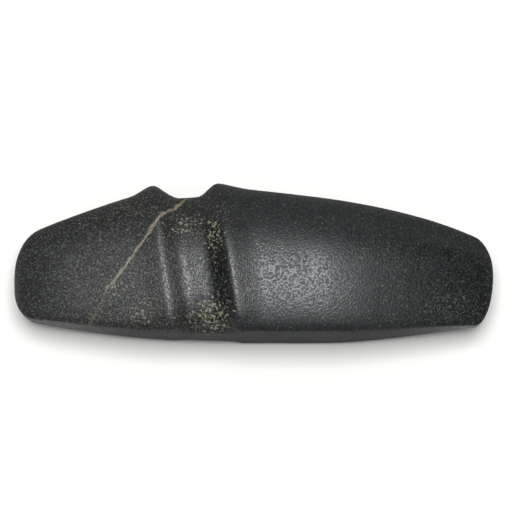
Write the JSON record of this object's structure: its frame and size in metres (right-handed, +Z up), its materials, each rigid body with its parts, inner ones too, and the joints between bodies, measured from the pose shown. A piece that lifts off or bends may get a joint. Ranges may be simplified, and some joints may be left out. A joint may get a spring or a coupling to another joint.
{
  "type": "three-quarter grooved stone axe head",
  "caption": "Ground and polished stone axe head with a tapered poll, a ridged haft groove over three sides, a flat back and a rounded bit, lying on one broad face.",
  "frame": {"origin": "middle of the bounding box's base, on the surface that the head lies on", "axes": "+X towards the cutting bit and -X towards the poll, +Y towards the grooved front edge with the flat back facing -Y, +Z up through the head's thickness"},
  "size_m": [0.1998, 0.0646, 0.0515],
  "materials": {
    "greenstone": "ground and polished fine-grained greenstone, dark green-black with pale mineral flecks and a tan vein"
  },
  "bodies": {
    "root": {"axe_head": "greenstone"}
  },
  "joints": []
}
